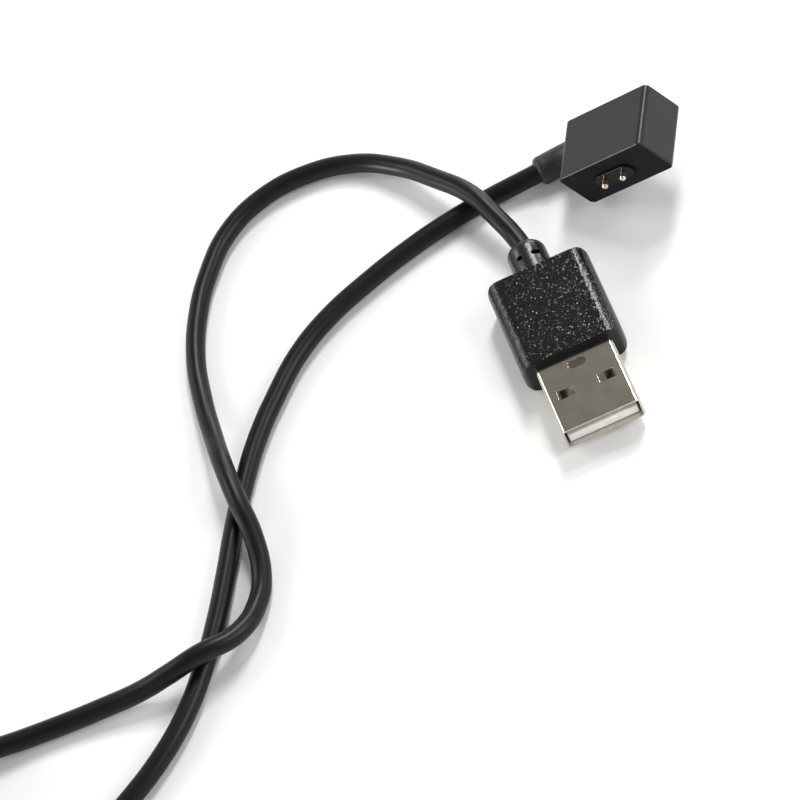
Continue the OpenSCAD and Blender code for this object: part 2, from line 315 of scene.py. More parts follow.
housing = start_block("head_housing_shell", (0, 0, -HEAD_T / 2), (HEAD_L, HEAD_D - COVER_T, HEAD_T / 2))
pick_edges(lambda middle, way: abs(way.y) > 0.9)
round_off(HEAD_EDGE_R, 9)
pick_edges(lambda middle, way: abs(middle.y) < 0.01)
round_off(FACE_EDGE_R, 4)
CAVITY_Z = HEAD_T / 2 - HEAD_WALL
cavity = start_block("cavity", (HEAD_WALL, HEAD_WALL, -CAVITY_Z), (HEAD_L - HEAD_WALL, HEAD_D, CAVITY_Z))
pick_edges(lambda middle, way: abs(way.y) > 0.9)
round_off(CAVITY_R, 4)
cut(housing, cavity)
OPEN_X, OPEN_Z = NOSE_L / 2 + FIT_GAP, NOSE_T / 2 + FIT_GAP
opening = obround_block("nose opening", (PIN_X - OPEN_X, -1, -OPEN_Z), (PIN_X + OPEN_X, 2.5, OPEN_Z), 1)
cut(housing, opening)
cut(housing, rod("cord hole", (-1, EXIT_DEPTH, 0), (2, EXIT_DEPTH, 0), NECK_R + FIT_GAP))

# The opening's rim is left almost sharp
bpy.ops.object.mode_set(mode="EDIT")
pick_edges(
    lambda middle, way: abs(middle.y) < 0.01
    and abs(middle.x - PIN_X) < OPEN_X + 0.02 and abs(middle.z) < OPEN_Z + 0.02
)
round_off(0.02, 2)

# Black ABS from a finely etched mould: satin, with a grain just fine enough to soften its gloss
head_abs, tree, principled = new_material(
    "satin black ABS, etched mould", Roughness=0.34, IOR=1.5, Specular_IOR_Level=0.36
)
coords = add_node(tree, "TexCoord")
grain = add_node(
    tree, "TexNoise", {"Scale": 1 / (0.16 * mm), "Detail": 2.0, "Roughness": 0.6},
    {"Vector": coords.outputs["Object"]},
)
cloud = add_node(
    tree, "TexNoise", {"Scale": 1 / (6 * mm), "Detail": 2.0}, {"Vector": coords.outputs["Object"]}
)
shade = add_node(
    tree, "ValToRGB", links={"Fac": cloud.outputs["Fac"]}, stops=[(0.35, "#1b1c20"), (0.65, "#1f2024")]
)
bump = add_node(
    tree, "Bump", {"Strength": 0.28, "Distance": 0.012 * mm}, {"Height": grain.outputs["Fac"]}
)
tree.links.new(shade.outputs["Color"], principled.inputs["Base Color"])
tree.links.new(bump.outputs["Normal"], principled.inputs["Normal"])

# The same ABS on the contact face, made darker and matt so that it shows no reflection: painted shade for
# the shade that this face lies in
abs_with_painted_shade, tree, principled = new_material(
    "matt black ABS, painted shade", Roughness=0.7, IOR=1.5, Specular_IOR_Level=0.1
)
coords = add_node(tree, "TexCoord")
cloud = add_node(
    tree, "TexNoise", {"Scale": 1 / (2 * mm), "Detail": 2.0}, {"Vector": coords.outputs["Object"]}
)
shade = add_node(
    tree, "ValToRGB", links={"Fac": cloud.outputs["Fac"]}, stops=[(0.35, "#161617"), (0.65, "#1a1a1b")]
)
tree.links.new(shade.outputs["Color"], principled.inputs["Base Color"])

choose()
housing.data.materials.append(head_abs)
housing.data.materials.append(abs_with_painted_shade)
# The contact face takes the darker copy of the ABS, which paints shade on it
for face in housing.data.polygons:
    face.material_index = int(face.normal.y < -0.95 and face.center.y < 0.1 * mm)
settle(housing, in_head, head_abs, "cable", "head_housing", slot="head_plastic")


# ---- Head back cover ----
# A flat ABS lid pressed into the back of the housing. Two ribs inside it locate it between the
# long walls, and its outer edge is rounded.

COVER_EDGE_R = 0.2
RIB_T, RIB_GAP, RIB_END = 0.6, 0.1, 3

cover = start_block("head_back_lid", (0, HEAD_D - COVER_T, -HEAD_T / 2), (HEAD_L, HEAD_D, HEAD_T / 2))
pick_edges(lambda middle, way: abs(way.y) > 0.9)
round_off(HEAD_EDGE_R, 9)
pick_edges(lambda middle, way: middle.y > HEAD_D - 0.01)
round_off(COVER_EDGE_R, 4)
for side in (-1, 1):
    rib_z = side * (HEAD_T / 2 - HEAD_WALL - RIB_GAP - RIB_T / 2)
    rib_y = HEAD_D - COVER_T - RIB_T
    low, high = (RIB_END, rib_y, rib_z - RIB_T / 2), (HEAD_L - RIB_END, rib_y + 0.8, rib_z + RIB_T / 2)
    cut(cover, start_block("rib", low, high), "UNION")
settle(cover, in_head, head_abs, "cable", "head_back_cover", slot="head_plastic")


# ---- Contact block ----
# A block of glossy black liquid-crystal polymer behind the contact face. Its obround nose fills
# the opening and stands a little proud of it, and the two contacts are pressed into its bores.

BLOCK_L, BLOCK_T, BLOCK_BACK = 8.4, 4.6, 4.6
NOSE_OUT = 0.45
PIN_PITCH = 3.6
PIN_R, BARREL_R = 0.5, 0.75

block = start_block(
    "contact_block", (PIN_X - BLOCK_L / 2, HEAD_WALL, -BLOCK_T / 2),
    (PIN_X + BLOCK_L / 2, BLOCK_BACK, BLOCK_T / 2),
)
pick_edges(lambda middle, way: True)
round_off(0.12, 2)
nose = obround_block(
    "nose", (PIN_X - NOSE_L / 2, -NOSE_OUT, -NOSE_T / 2), (PIN_X + NOSE_L / 2, 1.5, NOSE_T / 2), 1
)
pick_edges(lambda middle, way: middle.y < 0.01 - NOSE_OUT)
round_off(0.1, 3)
cut(block, nose, "UNION")
for side in (-1, 1):
    pin_x = PIN_X + side * PIN_PITCH / 2
    cut(block, rod("pin hole", (pin_x, -1, 0), (pin_x, 1, 0), PIN_R + 0.06))
    cut(block, rod("barrel hole", (pin_x, 0.3, 0), (pin_x, 6, 0), BARREL_R))

# Moulded liquid-crystal polymer: smooth and dark, with a sharp thin gloss along its edges
block_polymer, tree, principled = new_material(
    "gloss black LCP, moulded", Roughness=0.24, IOR=1.6, Specular_IOR_Level=0.12
)
coords = add_node(tree, "TexCoord")
flow = add_node(
    tree, "TexNoise", {"Scale": 1 / (0.8 * mm), "Detail": 3.0}, {"Vector": coords.outputs["Object"]}
)
shade = add_node(
    tree, "ValToRGB", links={"Fac": flow.outputs["Fac"]}, stops=[(0.3, "#0d0d0e"), (0.7, "#141415")]
)
tree.links.new(shade.outputs["Color"], principled.inputs["Base Color"])
settle(block, in_head, block_polymer, "cable", "pogo_block", slot="block_plastic")


# ---- Sprung contacts ----
# Each is a brass barrel with a round-nosed plunger held in by the barrel's lip, and a spring
# behind it. The plungers are turned brass, plated with nickel and then pale gold.

# Pale gold plate over turned brass: bright, a little soft, with faint lathe rings
gold_plate, tree, principled = new_material("pale gold plate, turned brass", Metallic=1.0, Roughness=0.22)
coords = add_node(tree, "TexCoord")
rings = add_node(
    tree, "TexWave", {"Scale": 1 / (0.25 * mm), "Distortion": 0.6, "Detail": 1.0},
    {"Vector": coords.outputs["Object"]}, bands_direction="Y",
)
wear = add_node(
    tree, "TexNoise", {"Scale": 1 / (0.5 * mm), "Detail": 2.0}, {"Vector": coords.outputs["Object"]}
)
shade = add_node(
    tree, "ValToRGB", links={"Fac": wear.outputs["Fac"]}, stops=[(0.3, "#e2d3b3"), (0.7, "#efe4cb")]
)
bump = add_node(
    tree, "Bump", {"Strength": 0.05, "Distance": 0.01 * mm}, {"Height": rings.outputs["Fac"]}
)
tree.links.new(shade.outputs["Color"], principled.inputs["Base Color"])
tree.links.new(bump.outputs["Normal"], principled.inputs["Normal"])

PIN_TIP_Y = -1.75
FLANGE_Y, FLANGE_L, FLANGE_R = 0.58, 0.92, 0.62
for side, name, body in ((-1, "plunger_left", "plunger_l"), (1, "plunger_right", "plunger_r")):
    pin_x = PIN_X + side * PIN_PITCH / 2
    plunger = rod(name + "_pin", (pin_x, PIN_TIP_Y, 0), (pin_x, FLANGE_Y, 0), PIN_R, 32)
    pick_edges(lambda middle, way: middle.y < PIN_TIP_Y + 0.01)
    round_off(PIN_R - 0.03, 8)
    pick_faces(lambda middle, normal: normal.y > 0.9)
    push()
    widen(FLANGE_R / PIN_R, (pin_x, FLANGE_Y, 0))
    push(y=FLANGE_L)
    turn_outwards()
    settle(plunger, in_head, gold_plate, body, name, slot="gold_plate")


def dress(material, *nodes):
    """Gives CAD nodes whose shape is right their material."""
    for node in nodes:
        piece = bpy.data.objects[node]
        piece.data.materials.clear()
        piece.data.materials.append(material)


# Drawn and turned brass, unplated: warmer and a little duller than the plungers
brass, tree, principled = new_material("turned brass", Metallic=1.0, Roughness=0.3)
coords = add_node(tree, "TexCoord")
tarnish = add_node(
    tree, "TexNoise", {"Scale": 1 / (0.9 * mm), "Detail": 3.0}, {"Vector": coords.outputs["Object"]}
)
shade = add_node(
    tree, "ValToRGB", links={"Fac": tarnish.outputs["Fac"]}, stops=[(0.3, "#b08a45"), (0.7, "#cba45c")]
)
tree.links.new(shade.outputs["Color"], principled.inputs["Base Color"])
dress(brass, "barrel_left", "barrel_right")

# Drawn stainless wire: grey, with fine marks along the wire
spring_wire, tree, principled = new_material("drawn stainless wire", Metallic=1.0, Roughness=0.28)
coords = add_node(tree, "TexCoord")
marks = add_node(
    tree, "TexNoise", {"Scale": 1 / (0.1 * mm), "Detail": 1.0}, {"Vector": coords.outputs["Object"]}
)
shade = add_node(
    tree, "ValToRGB", links={"Fac": marks.outputs["Fac"]}, stops=[(0.3, "#9c9ea2"), (0.7, "#c0c2c6")]
)
tree.links.new(shade.outputs["Color"], principled.inputs["Base Color"])
dress(spring_wire, "spring_left", "spring_right")


# ---- Inside the head ----
# Two nickel-plated magnets beside the block, a small board that the barrels' tails are soldered
# to, and the cord's two stripped cores.

# Nickel plate on a sintered magnet: grey and slightly uneven
nickel, tree, principled = new_material("nickel plate, sintered magnet", Metallic=1.0, Roughness=0.3)
coords = add_node(tree, "TexCoord")
pits = add_node(
    tree, "TexNoise", {"Scale": 1 / (0.3 * mm), "Detail": 3.0}, {"Vector": coords.outputs["Object"]}
)
shade = add_node(
    tree, "ValToRGB", links={"Fac": pits.outputs["Fac"]}, stops=[(0.3, "#a9a8a4"), (0.7, "#c6c5c1")]
)
tree.links.new(shade.outputs["Color"], principled.inputs["Base Color"])
dress(nickel, "magnet_left", "magnet_right")

# Green solder mask over glass fibre: the weave shows faintly through the gloss
solder_mask, tree, principled = new_material("green solder mask on glass fibre", Roughness=0.3, IOR=1.5)
coords = add_node(tree, "TexCoord")
weave = add_node(
    tree, "TexChecker", {"Scale": 1 / (0.5 * mm), "Color1": linear("#1f6b45"), "Color2": linear("#24734b")},
    {"Vector": coords.outputs["Object"]},
)
tree.links.new(weave.outputs["Color"], principled.inputs["Base Color"])
dress(solder_mask, "head_circuit_board")

# PVC insulation of the cores: glossy, soft plastic in its two code colours
for name, nodes, dark, light in (
    ("red PVC insulation", ("head_wire_red", "plug_wire_red"), "#8f1c18", "#a8241f"),
    ("black PVC insulation", ("head_wire_black", "plug_wire_black"), "#121213", "#1b1b1c"),
):
    insulation, tree, principled = new_material(name, Roughness=0.35, IOR=1.53)
    coords = add_node(tree, "TexCoord")
    tone = add_node(
        tree, "TexNoise", {"Scale": 1 / (2 * mm), "Detail": 1.0}, {"Vector": coords.outputs["Object"]}
    )
    shade = add_node(
        tree, "ValToRGB", links={"Fac": tone.outputs["Fac"]}, stops=[(0.3, dark), (0.7, light)]
    )
    tree.links.new(shade.outputs["Color"], principled.inputs["Base Color"])
    dress(insulation, *nodes)


# ---- Head strain relief ----
# A short elastomer sleeve moulded onto the cord. It snaps into the housing's end wall by a neck
# and a flange, and bends from the head's slope to the table, which it stands on.

RELIEF_R, RELIEF_END_R = 2.25, 0.9
RELIEF_BEND_R = 8.2
RELIEF_END_L = 1.4
NECK_FLANGE_R = 1.9
CORD_BEARING = math.radians(212.8)

exit_at = in_head @ (Vector((0, EXIT_DEPTH, 0)) * mm)
out = Vector((-math.cos(HEAD_TILT), 0, -math.sin(HEAD_TILT)))
level = Vector((math.cos(CORD_BEARING), math.sin(CORD_BEARING), 0))
inward = (level - level.dot(out) * out).normalized()
bend_turn = Matrix((-inward, out, out.cross(inward))).transposed().to_4x4()
in_bend = Matrix.Translation(exit_at + inward * RELIEF_BEND_R * mm) @ bend_turn

choose()
bpy.ops.mesh.primitive_circle_add(
    vertices=48, radius=RELIEF_R * mm, fill_type="NGON",
    location=(RELIEF_BEND_R * mm, 0, 0), rotation=(math.pi / 2, 0, 0),
)
relief = bpy.context.object
relief.name = "head_relief_sleeve"
bpy.ops.object.transform_apply(location=True, rotation=True, scale=True)
bpy.ops.object.mode_set(mode="EDIT")
bpy.ops.mesh.select_all(action="SELECT")
bend_angle = math.acos(out.dot(level))
bpy.ops.mesh.spin(steps=20, angle=-bend_angle, center=(0, 0, 0), axis=(0, 0, 1))
bpy.ops.mesh.select_all(action="SELECT")
bpy.ops.mesh.remove_doubles(threshold=1e-6)
turn_outwards()
end_way = Vector((-math.sin(bend_angle), math.cos(bend_angle), 0))
end_at = Vector((math.cos(bend_angle), math.sin(bend_angle), 0)) * RELIEF_BEND_R
pick_faces(lambda middle, normal: normal.dot(end_way) > 0.98 and (middle - end_at).length < 0.2)
push(x=RELIEF_END_L * end_way.x, y=RELIEF_END_L * end_way.y)
tip_at = end_at + RELIEF_END_L * end_way
pick_edges(lambda middle, way: abs((middle - tip_at).dot(end_way)) < 0.02 and (middle - tip_at).length > 2)
round_off(RELIEF_END_R, 7)
pick_faces(lambda middle, normal: normal.y < -0.95 and abs(middle.y) < 0.05)
bpy.ops.mesh.inset(thickness=(RELIEF_R - NECK_R) * mm)
push(y=-HEAD_WALL)
push()
widen(NECK_FLANGE_R / NECK_R, (RELIEF_BEND_R, -HEAD_WALL, 0))
push(y=-1)
turn_outwards()

# Thermoplastic elastomer: satin black, greyer and softer in its gloss than the cord
relief_elastomer, tree, principled = new_material(
    "satin black TPE, moulded", Roughness=0.42, IOR=1.5, Specular_IOR_Level=0.5
)
coords = add_node(tree, "TexCoord")
skin = add_node(
    tree, "TexNoise", {"Scale": 1 / (0.5 * mm), "Detail": 3.0}, {"Vector": coords.outputs["Object"]}
)
shade = add_node(
    tree, "ValToRGB", links={"Fac": skin.outputs["Fac"]}, stops=[(0.3, "#1d1f21"), (0.7, "#26282b")]
)
bump = add_node(tree, "Bump", {"Strength": 0.12, "Distance": 0.02 * mm}, {"Height": skin.outputs["Fac"]})
tree.links.new(shade.outputs["Color"], principled.inputs["Base Color"])
tree.links.new(bump.outputs["Normal"], principled.inputs["Normal"])
settle(relief, in_bend, relief_elastomer, "cable", "head_strain_relief", slot="relief_rubber")


# ---- Plug grip ----
# The overmould of the USB plug: PVC injected round the inner block in a spark-eroded mould, so
# it has a sparkling grain, and its front face, which lay against the shell's clamp, is smooth.

GRIP_L, GRIP_W, GRIP_T = 16.0, 15.9, 7.0
GRIP_EDGE_R, GRIP_CORNER_R = 2.3, 1.15
BACK_WALL, FRONT_WALL = 2, 1
INNER_W, INNER_T = 13.4, 5.2
ANCHOR_R = 2.2
SHELL_W, SHELL_T, SHELL_CORNER_R = 12.0, 4.5, 0.6
SHELL_TAIL, SHELL_REACH = 5.0, 12.0
COLLAR_Y = -0.25
PLUG_Z = GRIP_T / 2
PLUG_BEARING = math.radians(-63.5)

# The shell's box is centred on its own middle, and the plug's frame starts at the grip's front
plug_turn = Matrix.Rotation(PLUG_BEARING, 4, "Z")
shell_middle = Vector(((SHELL_REACH - SHELL_TAIL) / 2, 0, PLUG_Z)) * mm
in_plug = Matrix.Translation(middle_of("usb_shell")) @ plug_turn @ Matrix.Translation(-shell_middle)

grip = start_block("plug_grip", (-GRIP_L, -GRIP_W / 2, 0), (0, GRIP_W / 2, GRIP_T))
pick_edges(lambda middle, way: abs(way.x) > 0.9)
round_off(GRIP_EDGE_R, 12)
plan = start_block("plan", (-GRIP_L, -GRIP_W / 2, -1), (0, GRIP_W / 2, GRIP_T + 1))
pick_edges(lambda middle, way: abs(way.z) > 0.9)
round_off(GRIP_CORNER_R, 9)
cut(grip, plan, "INTERSECT")
inner_space = start_block(
    "inner space", (-GRIP_L + BACK_WALL, -INNER_W / 2, PLUG_Z - INNER_T / 2),
    (-FRONT_WALL, INNER_W / 2, PLUG_Z + INNER_T / 2),
)
cut(grip, inner_space)
SHELL_LOW, SHELL_HIGH = PLUG_Z - SHELL_T / 2, PLUG_Z + SHELL_T / 2
slot_tool = start_block("shell slot", (-2, -SHELL_W / 2, SHELL_LOW), (2, SHELL_W / 2, SHELL_HIGH))
pick_edges(lambda middle, way: abs(way.x) > 0.9)
round_off(SHELL_CORNER_R, 5)
cut(grip, slot_tool)
cut(grip, rod("cord way", (-GRIP_L - 1, COLLAR_Y, PLUG_Z), (-GRIP_L + 3, COLLAR_Y, PLUG_Z), ANCHOR_R))
soften(grip, 0.12, 2, 50)

# Spark-eroded PVC: near black. Each tiny crater has a shiny facet that leans its own way, most of
# them a little and a few a lot, so single ones flash white and the rounded edges glitter
grained_pvc, tree, principled = new_material(
    "black PVC, spark-eroded grain", Roughness=0.17, IOR=1.53, Specular_IOR_Level=0.45
)
coords = add_node(tree, "TexCoord")
craters = add_node(
    tree, "TexVoronoi", {"Scale": 1 / (0.105 * mm), "Randomness": 1.0},
    {"Vector": coords.outputs["Object"]}, feature="F1",
)
centred = add_node(
    tree, "VectorMath", {1: (0.5, 0.5, 0.5)}, {0: craters.outputs["Color"]}, operation="SUBTRACT"
)
tints = add_node(tree, "SeparateColor", links={"Color": craters.outputs["Color"]})
rare = add_node(tree, "Math", {1: 4.0}, {0: tints.outputs["Blue"]}, operation="POWER")
reach = add_node(tree, "MapRange", {"To Min": 0.2, "To Max": 0.8}, {"Value": rare.outputs["Value"]})
lean = add_node(
    tree, "VectorMath", links={0: centred.outputs["Vector"], "Scale": reach.outputs["Result"]},
    operation="SCALE",
)
surface = add_node(tree, "NewGeometry")
facet = add_node(
    tree, "VectorMath", links={0: surface.outputs["Normal"], 1: lean.outputs["Vector"]}, operation="ADD"
)
facet_way = add_node(tree, "VectorMath", links={0: facet.outputs["Vector"]}, operation="NORMALIZE")
tone = add_node(
    tree, "TexNoise", {"Scale": 1 / (0.3 * mm), "Detail": 1.0}, {"Vector": coords.outputs["Object"]}
)
shade = add_node(
    tree, "ValToRGB", links={"Fac": tone.outputs["Fac"]}, stops=[(0.35, "#09090a"), (0.7, "#0f0f10")]
)
tree.links.new(shade.outputs["Color"], principled.inputs["Base Color"])
tree.links.new(facet_way.outputs["Vector"], principled.inputs["Normal"])

# The same PVC from a plain mould face: smooth and very dark
smooth_pvc, tree, principled = new_material(
    "smooth black PVC, moulded", Roughness=0.45, IOR=1.53, Specular_IOR_Level=0.25
)
coords = add_node(tree, "TexCoord")
tone = add_node(
    tree, "TexNoise", {"Scale": 1 / (3 * mm), "Detail": 1.0}, {"Vector": coords.outputs["Object"]}
)
shade = add_node(
    tree, "ValToRGB", links={"Fac": tone.outputs["Fac"]}, stops=[(0.3, "#0f0e0e"), (0.7, "#141313")]
)
tree.links.new(shade.outputs["Color"], principled.inputs["Base Color"])

grip.data.materials.append(grained_pvc)
grip.data.materials.append(smooth_pvc)
for face in grip.data.polygons:
    face.material_index = int(face.normal.x > 0.9 and face.center.x > -0.1 * mm)
settle(grip, in_plug, grained_pvc, "cable", "plug_overmould", slot="overmould_plastic")


# ---- Plug collar ----
# The domed collar where the cord enters the grip, moulded in one shot with the cord's anchor. Two
# small windows on each side let it bend.

COLLAR_R, COLLAR_DOME_R = 3.0, 1.5
COLLAR_L = 6.0
WINDOW_FROM, WINDOW_TO = 1.7, 3.4
collar_back = (-GRIP_L - COLLAR_L, COLLAR_Y, PLUG_Z)
collar = rod("plug_collar", collar_back, (-GRIP_L, COLLAR_Y, PLUG_Z), COLLAR_R, 56)
pick_edges(lambda middle, way: middle.x < -GRIP_L - COLLAR_L + 0.01)
round_off(COLLAR_DOME_R, 8)
pick_faces(lambda middle, normal: normal.x > 0.9 and middle.x > -GRIP_L - 0.1)
bpy.ops.mesh.inset(thickness=(COLLAR_R - ANCHOR_R) * mm)
push(x=BACK_WALL)
for low_z, high_z in (
    (PLUG_Z - WINDOW_TO, PLUG_Z - WINDOW_FROM), (PLUG_Z + WINDOW_FROM, PLUG_Z + WINDOW_TO),
):
    cut(collar, obround_block("window", (-19.1, 0.45, low_z), (-18.25, 1.75, high_z), 2))
    cut(collar, obround_block("window", (-19.05, -1.85, low_z), (-18.3, -0.95, high_z), 2))
soften(collar, 0.1, 3, 50)

# Soft PVC, shiny where it is drawn tight, so its highlight breaks up over small ripples
collar_pvc, tree, principled = new_material("glossy black soft PVC", Roughness=0.26, IOR=1.53)
coords = add_node(tree, "TexCoord")
ripples = add_node(
    tree, "TexNoise", {"Scale": 1 / (0.45 * mm), "Detail": 3.0, "Roughness": 0.65},
    {"Vector": coords.outputs["Object"]},
)
bump = add_node(tree, "Bump", {"Strength": 0.7, "Distance": 0.06 * mm}, {"Height": ripples.outputs["Fac"]})
shade = add_node(
    tree, "ValToRGB", links={"Fac": ripples.outputs["Fac"]}, stops=[(0.3, "#121213"), (0.7, "#1a1a1c")]
)
tree.links.new(shade.outputs["Color"], principled.inputs["Base Color"])
tree.links.new(bump.outputs["Normal"], principled.inputs["Normal"])
settle(collar, in_plug, collar_pvc, "cable", "plug_strain_relief", slot="relief_rubber")


# ---- Plug inner block ----
# Natural polyethylene moulded round the shell's tail and the soldered wires before the grip goes
# on. It is hidden inside the grip.

polyethylene, tree, principled = new_material("natural polyethylene, moulded", Roughness=0.5, IOR=1.51)
coords = add_node(tree, "TexCoord")
haze = add_node(
    tree, "TexNoise", {"Scale": 1 / (2 * mm), "Detail": 2.0}, {"Vector": coords.outputs["Object"]}
)
shade = add_node(
    tree, "ValToRGB", links={"Fac": haze.outputs["Fac"]}, stops=[(0.3, "#dcd8cc"), (0.7, "#ebe8df")]
)
tree.links.new(shade.outputs["Color"], principled.inputs["Base Color"])
dress(polyethylene, "plug_inner_mould")


# ---- USB shell ----
# Nickel-plated steel sheet of 0.3 mm, pressed round into a flat tube with its seam underneath. It
# has two latch windows in each wide face and an oval hole on top.

SHELL_WALL = 0.3
LATCH_X, LATCH_Y = 6.0, 3.15
LATCH_L, LATCH_W = 1.6, 2.5
shell = start_block(
    "usb_steel_shell", (-SHELL_TAIL, -SHELL_W / 2, SHELL_LOW), (SHELL_REACH, SHELL_W / 2, SHELL_HIGH)
)
pick_edges(lambda middle, way: abs(way.x) > 0.9)
round_off(SHELL_CORNER_R, 6)
pick_faces(lambda middle, normal: abs(normal.x) > 0.9)
bpy.ops.mesh.delete(type="FACE")
choose(shell)
wall = shell.modifiers.new("wall", "SOLIDIFY")
wall.thickness, wall.offset = SHELL_WALL * mm, -1
bpy.ops.object.modifier_apply(modifier=wall.name)
for y in (-LATCH_Y, LATCH_Y):
    window = start_block(
        "latch window", (LATCH_X - LATCH_L / 2, y - LATCH_W / 2, 0),
        (LATCH_X + LATCH_L / 2, y + LATCH_W / 2, GRIP_T),
    )
    pick_edges(lambda middle, way: abs(way.z) > 0.9)
    round_off(0.12, 3)
    cut(shell, window)
cut(shell, obround_block("oval hole", (1.25, -1.35, PLUG_Z), (2.65, 1.35, GRIP_T), 2))
cut(shell, start_block("seam", (-SHELL_TAIL - 1, -0.03, 0), (SHELL_REACH + 1, 0.03, PLUG_Z - 1)))
soften(shell, 0.07, 2, 35)

# Bright nickel over pressed steel: smooth, warm grey, with faint cloudy stains in its gloss
nickel_steel, tree, principled = new_material("nickel-plated pressed steel", Metallic=1.0, Roughness=0.16)
coords = add_node(tree, "TexCoord")
stain = add_node(
    tree, "TexNoise", {"Scale": 1 / (3 * mm), "Detail": 3.0}, {"Vector": coords.outputs["Object"]}
)
shade = add_node(
    tree, "ValToRGB", links={"Fac": stain.outputs["Fac"]}, stops=[(0.3, "#c9c2b8"), (0.7, "#d0cac1")]
)
gloss = add_node(
    tree, "MapRange", {"To Min": 0.14, "To Max": 0.19}, {"Value": stain.outputs["Fac"]}
)
tree.links.new(shade.outputs["Color"], principled.inputs["Base Color"])
tree.links.new(gloss.outputs["Result"], principled.inputs["Roughness"])
settle(shell, in_plug, nickel_steel, "cable", "usb_shell", slot="shell_steel")


# ---- USB tongue and contacts ----
# The white PBT insulator in the lower half of the shell, with a full-height root, and the four
# flat gold-plated contacts that lie on its top and pass through slots in its root.

TONGUE_W, ROOT_T = 10.76, 3.88
TONGUE_TOP = PLUG_Z - SHELL_T / 2 + SHELL_WALL + 1.85
TONGUE_LOW = PLUG_Z - SHELL_T / 2 + SHELL_WALL + 0.01
TONGUE_REACH = SHELL_REACH - 0.7
CONTACT_YS = (-3.5, -1, 1, 3.5)
CONTACT_W, CONTACT_T = 1.0, 0.2

tongue = start_block(
    "usb_white_tongue", (-SHELL_TAIL, -TONGUE_W / 2, TONGUE_LOW), (TONGUE_REACH, TONGUE_W / 2, TONGUE_TOP)
)
pick_edges(lambda middle, way: middle.x > TONGUE_REACH - 0.1)
round_off(0.25, 3)
root = start_block(
    "root", (-SHELL_TAIL, -TONGUE_W / 2, TONGUE_LOW), (0, TONGUE_W / 2, TONGUE_LOW + ROOT_T)
)
cut(tongue, root, "UNION")
for y in CONTACT_YS:
    low = (-SHELL_TAIL - 1, y - CONTACT_W / 2 - 0.03, TONGUE_TOP)
    cut(tongue, start_block("slot", low, (2, y + CONTACT_W / 2 + 0.03, TONGUE_TOP + 0.25)))

# Glass-filled PBT: clean matt white
white_pbt, tree, principled = new_material("white PBT, moulded", Roughness=0.5, IOR=1.55)
coords = add_node(tree, "TexCoord")
fill = add_node(
    tree, "TexNoise", {"Scale": 1 / (1.5 * mm), "Detail": 2.0}, {"Vector": coords.outputs["Object"]}
)
shade = add_node(
    tree, "ValToRGB", links={"Fac": fill.outputs["Fac"]}, stops=[(0.3, "#efeeea"), (0.7, "#f8f7f4")]
)
tree.links.new(shade.outputs["Color"], principled.inputs["Base Color"])
settle(tongue, in_plug, white_pbt, "cable", "usb_tongue", slot="tongue_plastic")

# The outer two contacts reach further forward, so power is made before data
CONTACT_LOW = TONGUE_TOP + 0.01
CONTACT_BACK = -SHELL_TAIL - 2.5
for number, (y, set_back) in enumerate(zip(CONTACT_YS, (2.2, 3.2, 3.2, 2.2)), start=1):
    contact = start_block(
        f"usb_contact_strip_{number}", (CONTACT_BACK, y - CONTACT_W / 2, CONTACT_LOW),
        (SHELL_REACH - set_back, y + CONTACT_W / 2, CONTACT_LOW + CONTACT_T),
    )
    pick_edges(lambda middle, way: abs(way.z) > 0.9 and middle.x > 0)
    round_off(0.3, 4)
    pick_edges(lambda middle, way: middle.z > CONTACT_LOW + CONTACT_T - 0.01)
    round_off(0.06, 2)
    settle(contact, in_plug, gold_plate, "cable", f"usb_contact_{number}", slot="gold_plate")


# ---- Coil tie ----
# A band of dull black elastomer, wrapped once round the turns of the spare cord, which it lifts
# off the table by its own thickness.

CORD_R = 1.5
COIL_IN_R, COIL_OUT_R = 14, 17
TIE_T, TIE_FROM, TIE_ANGLE = 0.6, 190, 24
coil_at = Vector((-92.6, -118, 0)) * mm


def spun_bundle(name, grow, first_angle, angle):
    """Starts a curved block along the coil's turns, clockwise from an angle, grown outwards by some mm."""
    choose()
    low = Vector((COIL_IN_R - CORD_R - grow, 0, TIE_T - grow)) * mm
    high = Vector((COIL_OUT_R + CORD_R + grow, 0, TIE_T + 4 * CORD_R + grow)) * mm
    bpy.ops.mesh.primitive_plane_add(size=1, location=(low + high) / 2, rotation=(math.pi / 2, 0, 0))
    piece = bpy.context.object
    piece.name = name
    piece.scale = (high.x - low.x, high.z - low.z, 1)
    bpy.ops.object.transform_apply(location=True, rotation=True, scale=True)
    piece.data.transform(Matrix.Rotation(math.radians(first_angle), 4, "Z"))
    bpy.ops.object.mode_set(mode="EDIT")
    bpy.ops.mesh.select_all(action="SELECT")
    bpy.ops.mesh.bevel(offset=(CORD_R + 0.2) * mm, segments=8, affect="VERTICES")
    bpy.ops.mesh.select_all(action="SELECT")
    bpy.ops.mesh.spin(steps=12, angle=math.radians(angle), center=(0, 0, 0), axis=(0, 0, 1))
    bpy.ops.mesh.select_all(action="SELECT")
    bpy.ops.mesh.remove_doubles(threshold=1e-6)
    turn_outwards()
    return piece


# The core starts 10 degrees along the band, so the band's first stretch is solid round the cord
tie = spun_bundle("coil_tie_band", TIE_T, TIE_FROM, TIE_ANGLE)
cut(tie, spun_bundle("core", 0.02, TIE_FROM - 10, TIE_ANGLE + 20))
soften(tie, 0.15, 2, 50)

